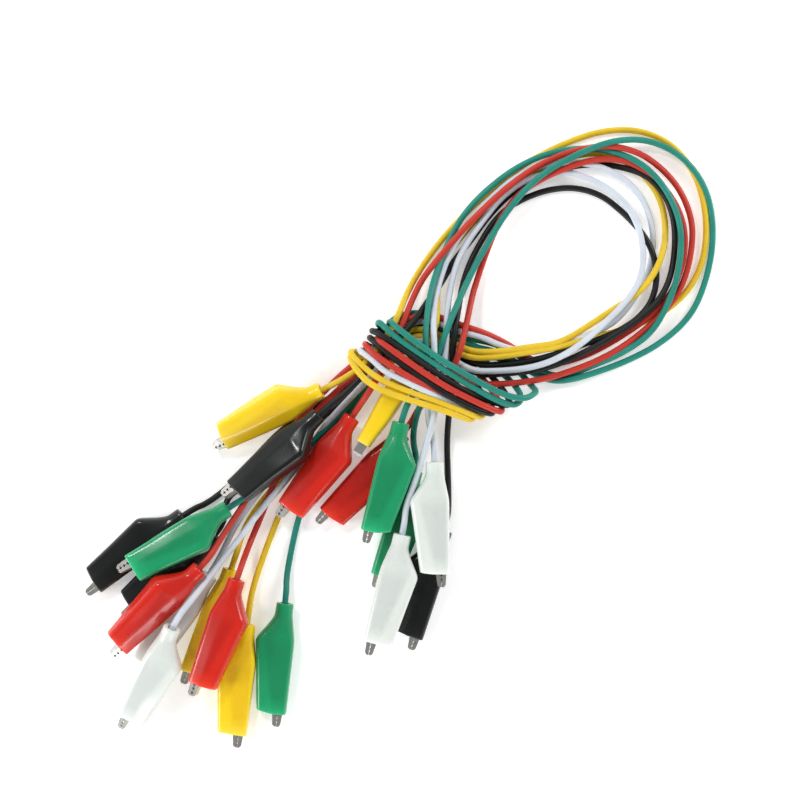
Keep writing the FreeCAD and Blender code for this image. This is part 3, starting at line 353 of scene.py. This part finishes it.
def spread(nodes, links, value, low, high):
    """Maps a 0.3 to 0.7 texture value to the range low to high."""
    mapped = nodes.new("ShaderNodeMapRange")
    mapped.inputs["From Min"].default_value = 0.3
    mapped.inputs["From Max"].default_value = 0.7
    mapped.inputs["To Min"].default_value = low
    mapped.inputs["To Max"].default_value = high
    links.new(value, mapped.inputs["Value"])
    return mapped.outputs["Result"]


def mixed_colour(nodes, links, factor, first, second):
    mix = nodes.new("ShaderNodeMix")
    mix.data_type = "RGBA"
    links.new(factor, mix.inputs["Factor"])
    for socket, colour in ((mix.inputs["A"], first), (mix.inputs["B"], second)):
        if isinstance(colour, tuple):
            socket.default_value = (*colour, 1)
        else:
            links.new(colour, socket)
    return mix.outputs["Result"]


def add_bump(nodes, links, shader, height, strength, distance):
    bump = nodes.new("ShaderNodeBump")
    bump.inputs["Strength"].default_value = strength
    bump.inputs["Distance"].default_value = distance
    links.new(height, bump.inputs["Height"])
    links.new(bump.outputs["Normal"], shader.inputs["Normal"])


def attribute_value(nodes, name):
    attribute = nodes.new("ShaderNodeAttribute")
    attribute.attribute_name = name
    return attribute.outputs["Fac"]


# ---------------------------------------------------------------- materials
# Each colour: the body, a darker copy that paints the clip's shadow seen through the vinyl and also
# gives the random cloudy tone, and a paler copy that paints light coming through the thin mouth rim.
VINYL = {
    "yellow": ((0.92, 0.64, 0.012), (0.80, 0.52, 0.01), (1.0, 0.76, 0.08)),
    "black": ((0.007, 0.008, 0.008), (0.005, 0.006, 0.006), (0.018, 0.019, 0.019)),
    "red": ((0.62, 0.018, 0.008), (0.48, 0.012, 0.006), (0.85, 0.06, 0.03)),
    "green": ((0.010, 0.31, 0.125), (0.008, 0.24, 0.095), (0.03, 0.50, 0.21)),
    "white": ((0.73, 0.77, 0.73), (0.60, 0.64, 0.61), (0.88, 0.91, 0.88)),
}
WIRE_COLOUR = {
    "yellow": ((0.80, 0.56, 0.03), (0.70, 0.47, 0.02)),
    "black": ((0.006, 0.007, 0.007), (0.010, 0.011, 0.011)),
    "red": ((0.56, 0.042, 0.026), (0.47, 0.030, 0.018)),
    "green": ((0.018, 0.26, 0.20), (0.012, 0.21, 0.16)),
    "white": ((0.66, 0.71, 0.78), (0.56, 0.61, 0.68)),
}


def vinyl(colour):
    """Soft, glossy dip-moulded vinyl: darker over the metal inside, where the clip's shadow is painted,
    and paler at the thin rim, where light coming through is painted.
    """
    body, metal_shadow_and_cloud_tone, rim = VINYL[colour]
    material, nodes, links = new_material(colour + "_vinyl")
    shader = nodes["Principled BSDF"]
    cloudy = noise_node(nodes, links, 90.0)
    fine = noise_node(nodes, links, 2600.0, 3.0)
    # Painted shade: the clip's shadow seen through the vinyl.
    base = mixed_colour(nodes, links, attribute_value(nodes, "painted_metal_shadow"), body, metal_shadow_and_cloud_tone)
    # Painted light: light coming through the thin mouth rim.
    base = mixed_colour(nodes, links, attribute_value(nodes, "painted_rim_light"), base, rim)
    cloud = spread(nodes, links, cloudy.outputs["Fac"], 0.0, 0.22)
    base = mixed_colour(nodes, links, cloud, base, metal_shadow_and_cloud_tone)
    links.new(base, shader.inputs["Base Color"])
    links.new(spread(nodes, links, cloudy.outputs["Fac"], 0.22, 0.34), shader.inputs["Roughness"])
    shader.inputs["IOR"].default_value = 1.5
    shader.inputs["Specular IOR Level"].default_value = 0.32
    shader.inputs["Subsurface Weight"].default_value = 0.0 if colour == "black" else 0.25
    shader.inputs["Subsurface Radius"].default_value = (1.0, 0.7, 0.5)
    shader.inputs["Subsurface Scale"].default_value = 0.0008
    shader.inputs["Coat Weight"].default_value = 0.35
    shader.inputs["Coat Roughness"].default_value = 0.12
    add_bump(nodes, links, shader, fine.outputs["Fac"], 0.10, 0.00006)
    return material


def pvc(colour):
    """Extruded wire insulation: satin, with faint scuffs and a slightly uneven surface."""
    body, worn = WIRE_COLOUR[colour]
    material, nodes, links = new_material(colour + "_wire_pvc")
    shader = nodes["Principled BSDF"]
    patches = noise_node(nodes, links, 140.0)
    fine = noise_node(nodes, links, 3500.0, 2.0)
    factor = spread(nodes, links, patches.outputs["Fac"], 0.0, 1.0)
    links.new(mixed_colour(nodes, links, factor, body, worn), shader.inputs["Base Color"])
    links.new(spread(nodes, links, patches.outputs["Fac"], 0.34, 0.50), shader.inputs["Roughness"])
    shader.inputs["Specular IOR Level"].default_value = 0.32
    shader.inputs["Subsurface Weight"].default_value = 0.0 if colour == "black" else 0.12
    shader.inputs["Subsurface Scale"].default_value = 0.0005
    add_bump(nodes, links, shader, fine.outputs["Fac"], 0.12, 0.00004)
    return material


def metal(name, light, dark, roughness, bump):
    """Pressed sheet or drawn wire: a mottled plate, with fine marks from the tools."""
    material, nodes, links = new_material(name)
    shader = nodes["Principled BSDF"]
    shader.inputs["Metallic"].default_value = 1.0
    mottle = noise_node(nodes, links, 700.0, 6.0, 0.65)
    marks = noise_node(nodes, links, 5200.0, 3.0)
    factor = spread(nodes, links, mottle.outputs["Fac"], 0.0, 1.0)
    links.new(mixed_colour(nodes, links, factor, light, dark), shader.inputs["Base Color"])
    rough = spread(nodes, links, mottle.outputs["Fac"], roughness * 0.7, roughness * 1.4)
    links.new(rough, shader.inputs["Roughness"])
    add_bump(nodes, links, shader, marks.outputs["Fac"], bump, 0.00005)
    return material


# ---------------------------------------------------------------- wires
def add_wire(lead, material):
    """One insulated wire, a smooth curve through the design's route."""
    curve = bpy.data.curves.new(lead + "_insulated_wire", "CURVE")
    curve.dimensions = "3D"
    spline = curve.splines.new("NURBS")
    places = wire_points(lead)
    spline.points.add(len(places) - 1)
    for point, place in zip(spline.points, places):
        point.co = (*place, 1.0)
    spline.order_u = 3
    spline.use_endpoint_u = True
    spline.resolution_u = 8
    curve.bevel_depth = WIRE_RADIUS
    curve.bevel_resolution = 5
    curve.use_fill_caps = True
    curve.materials.append(material)
    wire = bpy.data.objects.new(curve.name, curve)
    bpy.context.scene.collection.objects.link(wire)
    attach(wire, "root")
    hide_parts(lead + "_wire")


# ---------------------------------------------------------------- boots
def round_section(x, radius):
    """A regular hexagon with corners so round that it is nearly a circle."""
    corner = 0.96 * radius
    return (x, -radius, radius, 0.0, 1.155 * radius, 0.577 * radius, 0.577 * radius, corner, corner)


# Key sections along a boot, in millimetres. Each is a six-sided outline with rounded corners: x,
# belly, hump, height of the side ridges, half thickness at the ridges, belly and hump, then the
# radius of the four outer corners and of the two ridges.
COLLAR_SECTIONS = [round_section(0.0, 2.34), round_section(0.2, 2.48), round_section(0.9, 2.52),
                   round_section(3.0, 2.52), round_section(3.8, 2.60)]
BODY_SECTIONS = [
    (5.4, -2.95, 3.35, 0.1, 2.95, 2.25, 2.20, 2.05, 2.6),
    (7.4, -3.35, 4.70, 0.2, 3.18, 2.60, 2.55, 2.00, 4.0),
    (9.2, -3.72, 5.95, 0.4, 3.36, 2.82, 2.75, 1.85, 6.0),
    (10.0, -3.86, 6.48, 0.5, 3.42, 2.88, 2.86, 1.70, 8.0),
    (10.6, -3.95, 6.82, 0.5, 3.46, 2.90, 2.90, 1.60, 8.0),
    (11.2, -4.00, 6.98, 0.5, 3.48, 2.92, 2.92, 1.50, 8.0),
    (11.9, -4.04, 6.96, 0.5, 3.48, 2.92, 2.94, 1.50, 8.0),
    (13.0, -4.07, 6.78, 0.5, 3.46, 2.90, 2.94, 1.50, 8.0),
    (15.5, -4.08, 6.42, 0.4, 3.40, 2.84, 2.90, 1.45, 8.0),
    (19.0, -4.09, 5.94, 0.3, 3.32, 2.80, 2.92, 1.40, 8.0),
    (23.0, -4.10, 5.38, 0.2, 3.08, 2.56, 2.60, 1.35, 8.0),
    (27.0, -4.12, 4.90, 0.1, 2.66, 2.16, 2.14, 1.30, 8.0),
    (30.2, -4.14, 4.52, 0.0, 2.38, 1.94, 1.92, 1.25, 8.0),
    (31.3, -4.16, 4.40, 0.0, 2.31, 1.88, 1.86, 1.20, 8.0),
    (31.9, -4.12, 4.34, 0.0, 2.25, 1.82, 1.80, 1.15, 8.0),
]
# The hollow starts at this body section, and its rings lie a little behind the outside's. The
# bore takes the wire through the collar.
INNER_FROM = 4
INNER_BEHIND = 0.05
BOOT_WALL = 0.55
BORE_SECTIONS = [round_section(8.2, 1.75), round_section(6.6, 1.30), round_section(0.7, 1.15),
                 round_section(0.1, 1.10)]
ARC_STEPS = 4
STRAIGHT_STEPS = 4

# How the vinyl gives, in millimetres: a dent in each side, a crease below the hump, uneven lumps,
# and a mouth that is cut back towards the hump. A pair of numbers is where a change starts and
# where it is full.
BODY = (5.0, 11.0)
SIDES = (0.6, 1.6)
DENT_X, DENT_Y, DENT_LENGTH, DENT_HEIGHT = 22.0, 2.6, 6.5, 1.8
CREASE_X, CREASE_Y, CREASE_LEAN, CREASE_WIDTH, CREASE_HEIGHT = 10.6, 2.0, 0.25, 0.6, 1.9
LUMPS_ALONG, LUMPS_ACROSS = 0.14, 0.17
LUMP_Y, LUMP_Z = 0.10, 0.14
RIM = (26.0, 32.0)
RIM_LUMP_X, RIM_LUMP_Y, RIM_LUMP_Z = 0.3, 0.10, 0.22
CUT = (0.5, 4.2)

# Where the metal lies right behind the vinyl and its shadow is painted, and where painted light comes
# through the rim.
COLLAR_END = 8.0
COLLAR_METAL = (1.0, 4.0)
METAL_REAR, METAL_FRONT = (7.0, 13.0), (-31.5, -27.5)
METAL_BELLY = (-3.7, -2.7)
METAL_TOP, METAL_TOP_X, METAL_TOP_FALL, METAL_TOP_FADE = 4.9, 11.0, 0.22, 1.2
PAINTED_RIM_LIGHT_SPAN = (29.6, 31.9)


def ring_points(section, inset=0.0):
    """Points round one section, the same number whatever its shape. An inset draws the inside."""
    x, belly, hump, ridge_y, ridge_t, belly_t, hump_t, corner, ridge_corner = section
    corners = [(hump, hump_t), (ridge_y, ridge_t), (belly, belly_t),
               (belly, -belly_t), (ridge_y, -ridge_t), (hump, -hump_t)]
    radii = (corner, ridge_corner, corner, corner, ridge_corner, corner)
    count = len(corners)
    normals = []
    for i in range(count):
        run = Vector(corners[(i + 1) % count]) - Vector(corners[i])
        normals.append(Vector((run.y, -run.x)).normalized())
    outline = []
    for i in range(count):
        before, after = normals[i - 1], normals[i]
        centre = Vector(corners[i]) - (before + after) * radii[i] / (1 + before.dot(after))
        for step in range(ARC_STEPS + 1):
            direction = before.lerp(after, step / ARC_STEPS).normalized()
            outline.append(centre + direction * (radii[i] - inset))
    points = []
    per_corner = ARC_STEPS + 1
    for i in range(count):
        arc = outline[i * per_corner:(i + 1) * per_corner]
        points += arc
        next_start = outline[(i + 1) * per_corner % len(outline)]
        points += [arc[-1].lerp(next_start, step / STRAIGHT_STEPS) for step in range(1, STRAIGHT_STEPS)]
    return [Vector((x, p.x, p.y)) for p in points]


def bell(distance, width):
    return math.exp(-(distance / width) ** 2)


def ramp(value, low, high):
    return min(1.0, max(0.0, (value - low) / (high - low)))


def soften(point, outside, character):
    """Moves a drawn point, in millimetres, the way soft vinyl gives over the clip inside it."""
    x, y, z = point
    seed, dent, cut, wrinkle = character
    body = ramp(x, *BODY)
    side = 1 if z > 0 else -1
    flat = ramp(abs(z), *SIDES)
    z -= side * dent * flat * body * bell(x - DENT_X, DENT_LENGTH) * bell(y - DENT_Y, DENT_HEIGHT)
    crease = bell(x - CREASE_X - CREASE_LEAN * (y - CREASE_Y), CREASE_WIDTH)
    crease *= bell(y - DENT_Y, CREASE_HEIGHT)
    z += side * flat * outside * wrinkle * crease
    lumps = noise.noise_vector(Vector((x * LUMPS_ALONG, y * LUMPS_ACROSS, z * LUMPS_ACROSS + seed)))
    rim = ramp(x, *RIM) ** 2
    y += lumps.y * body * (LUMP_Y + RIM_LUMP_Y * rim)
    z += lumps.z * body * (LUMP_Z + RIM_LUMP_Z * rim)
    x -= rim * (cut * ramp(y, *CUT) - RIM_LUMP_X * lumps.x)
    return Vector((x, y, z))


def painted_metal_shadow(point):
    """1 where the clip lies right behind the vinyl and its shadow is painted, fading to 0 beside it."""
    x, y, _ = point
    if x < COLLAR_END:
        return 0.5 * ramp(x, *COLLAR_METAL)
    top = METAL_TOP - METAL_TOP_FALL * (x - METAL_TOP_X)
    across = ramp(top - y, 0.0, METAL_TOP_FADE) * ramp(y, *METAL_BELLY)
    return across * ramp(x, *METAL_REAR) * ramp(-x, *METAL_FRONT)


def painted_rim_light(point):
    """1 at the open mouth, where light coming through the edge is painted."""
    return ramp(point.x, *PAINTED_RIM_LIGHT_SPAN)


def boot_rings(character):
    """Rings of a closed skin: outside to the mouth, back along the inside, out at the wire."""
    outer = COLLAR_SECTIONS + BODY_SECTIONS
    rings = [[soften(p, 1.0, character) for p in ring_points(section)] for section in outer]
    for section in reversed(BODY_SECTIONS[INNER_FROM:]):
        inner = ring_points((section[0] - INNER_BEHIND, *section[1:]), BOOT_WALL)
        rings.append([soften(p, 0.0, character) for p in inner])
    rings += [ring_points(section) for section in BORE_SECTIONS]
    return rings


def add_boot(name, clip, material, character):
    rings = boot_rings(character)
    count = len(rings[0])
    points = [point for ring in rings for point in ring]
    faces = []
    for i in range(len(rings)):
        here, there = i * count, (i + 1) % len(rings) * count
        for j in range(count):
            k = (j + 1) % count
            faces.append((here + j, here + k, there + k, there + j))
    mesh = bpy.data.meshes.new(name + "_vinyl_boot")
    mesh.from_pydata([point * MM for point in points], [], faces)
    # Masks for the painted shadow of the clip and for the painted light at the rim.
    for label, rule in (("painted_metal_shadow", painted_metal_shadow), ("painted_rim_light", painted_rim_light)):
        values = mesh.attributes.new(label, "FLOAT", "POINT")
        for item, point in zip(values.data, points):
            item.value = rule(point)
    mesh.transform(clip_matrix(clip))
    mesh.shade_smooth()
    mesh.materials.append(material)
    boot = bpy.data.objects.new(mesh.name, mesh)
    bpy.context.scene.collection.objects.link(boot)
    smooth = boot.modifiers.new("smooth", "SUBSURF")
    smooth.levels = 1
    smooth.render_levels = 1
    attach(boot, "root")
    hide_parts(name + "_boot")


# ---------------------------------------------------------------- surroundings
def add_floor():
    """A pale sheet that glows a little, which softens the shadows on it."""
    size = FLOOR_HALF_SIDE
    mesh = bpy.data.meshes.new("floor")
    corners = [(-size, -size, 0), (size, -size, 0), (size, size, 0), (-size, size, 0)]
    mesh.from_pydata([Vector(c) for c in corners], [], [(0, 1, 2, 3)])
    floor = bpy.data.objects.new("floor", mesh)
    floor.location.z = -FLOOR_DROP
    bpy.context.scene.collection.objects.link(floor)
    material, nodes, links = new_material("pale_floor")
    shader = nodes["Principled BSDF"]
    shader.inputs["Base Color"].default_value = (0.93, 0.93, 0.93, 1)
    shader.inputs["Roughness"].default_value = 0.9
    shader.inputs["Specular IOR Level"].default_value = 0.1
    shader.inputs["Emission Color"].default_value = (1, 1, 1, 1)
    shader.inputs["Emission Strength"].default_value = FLOOR_GLOW
    mesh.materials.append(material)


def add_light(name, place, size, power):
    """A soft rectangular lamp that faces the lit point."""
    lamp = bpy.data.lights.new(name, "AREA")
    lamp.shape = "RECTANGLE"
    lamp.size, lamp.size_y = size
    lamp.energy = power
    light = bpy.data.objects.new(name, lamp)
    light.location = place
    aim = Vector(LIT_POINT) - Vector(place)
    light.rotation_euler = aim.to_track_quat("-Z", "Y").to_euler()
    bpy.context.scene.collection.objects.link(light)


def add_world():
    """A pale tent, dimmer straight overhead, so that what lies flat keeps its full colour."""
    world = bpy.data.worlds.new("studio")
    world.use_nodes = True
    nodes, links = world.node_tree.nodes, world.node_tree.links
    place = nodes.new("ShaderNodeTexCoord")
    split = nodes.new("ShaderNodeSeparateXYZ")
    links.new(place.outputs["Generated"], split.inputs["Vector"])
    height = nodes.new("ShaderNodeMapRange")
    height.interpolation_type = "SMOOTHSTEP"
    height.inputs["From Min"].default_value, height.inputs["From Max"].default_value = WORLD_CHANGE
    height.inputs["To Min"].default_value = WORLD_SIDES
    height.inputs["To Max"].default_value = WORLD_ZENITH
    links.new(split.outputs["Z"], height.inputs["Value"])
    links.new(height.outputs["Result"], nodes["Background"].inputs["Strength"])
    nodes["Background"].inputs["Color"].default_value = (1, 1, 1, 1)
    bpy.context.scene.world = world


# ---------------------------------------------------------------- the model
# What differs from boot to boot, least and most: the place in the noise, the depth of the dents,
# how far the mouth is cut back, and the height of the crease.
CHARACTER = ((0, 50), (0.0, 0.12), (0.1, 0.9), (0.03, 0.14))
# One seed for these and for the lumps, so that every run draws the same boots.
CHARACTER_SEED = 7


def dress_cad_nodes():
    """Metal finishes for the clips, which keep their designed shapes."""
    plate = metal("nickel_plate", (0.80, 0.78, 0.74), (0.46, 0.45, 0.42), 0.34, 0.10)
    steel = metal("spring_wire", (0.45, 0.44, 0.43), (0.30, 0.29, 0.28), 0.32, 0.15)
    copper = metal("bare_copper", (0.86, 0.42, 0.24), (0.60, 0.26, 0.14), 0.35, 0.2)
    finish = {"jaw_springs": steel, "copper_strands": copper}
    for name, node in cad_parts.items():
        if not name.endswith(("_boot", "_wire")):
            node.data.materials.clear()
            node.data.materials.append(finish.get(name, plate))


def main():
    add_camera()
    insulation = {colour: pvc(colour) for colour in COLOURS}
    for lead in ROUTES:
        add_wire(lead, insulation[lead.split("_")[0]])
    skins = {colour: vinyl(colour) for colour in COLOURS}
    picker = random.Random(CHARACTER_SEED)
    noise.seed_set(CHARACTER_SEED)
    for name, clip in CLIPS.items():
        character = [picker.uniform(low, high) for low, high in CHARACTER]
        add_boot(name, clip, skins[name.split("_")[0]], character)
    dress_cad_nodes()
    add_floor()
    add_world()
    for lamp in LAMPS:
        add_light(*lamp)


main()
